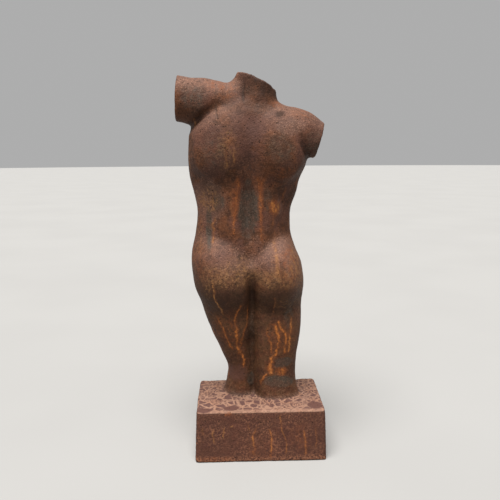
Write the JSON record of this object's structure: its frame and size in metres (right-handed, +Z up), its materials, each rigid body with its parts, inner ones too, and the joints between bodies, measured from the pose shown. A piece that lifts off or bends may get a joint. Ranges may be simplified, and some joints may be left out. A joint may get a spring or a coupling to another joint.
{
  "type": "torso sculpture",
  "caption": "Cast iron female torso cut off at the neck, upper arms and knees, standing on a low rectangular plinth, rusted all over.",
  "frame": {"origin": "centre of the plinth's underside", "axes": "+Z up the figure; the chest faces -Y, the back faces +Y and the figure's left side is towards +X"},
  "size_m": [0.228, 0.1416, 0.5959],
  "materials": {
    "rusted_cast_iron": "bare sand-cast iron with dry brown rust and orange runs"
  },
  "bodies": {
    "root": {"torso_and_plinth": "rusted_cast_iron"}
  },
  "joints": []
}
